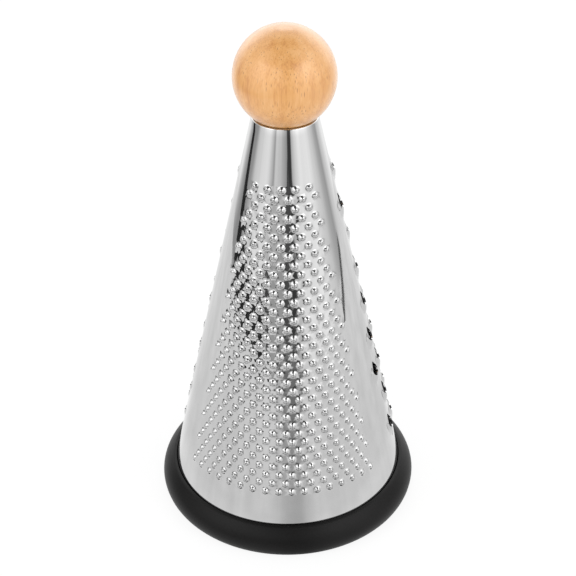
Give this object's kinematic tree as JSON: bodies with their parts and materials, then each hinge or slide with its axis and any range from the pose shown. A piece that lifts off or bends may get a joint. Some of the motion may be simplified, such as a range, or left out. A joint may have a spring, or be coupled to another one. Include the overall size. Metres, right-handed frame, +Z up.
{
  "type": "cone grater",
  "caption": "Free-standing conical steel grater with fine, medium and coarse tooth zones, a wooden ball knob on top and a black rubber ring round its foot.",
  "frame": {"origin": "middle of the foot ring's underside, on the surface that the grater stands on", "axes": "+Z up along the cone's axis, -Y towards the middle of the fine zone, the coarse zone a third of a turn from it towards +X"},
  "size_m": [0.127, 0.127, 0.2406],
  "materials": {
    "polished_steel": "polished stainless sheet",
    "varnished_beech": "satin clear varnish",
    "pressed_steel": "plain pressed and plated steel",
    "black_rubber": "matt moulded"
  },
  "bodies": {
    "root": {"grater_cone": "polished_steel", "ball_knob": "varnished_beech", "clamp_cup": "pressed_steel", "screw_washer": "pressed_steel", "knob_screw": "pressed_steel", "foot_ring": "black_rubber"}
  },
  "joints": []
}
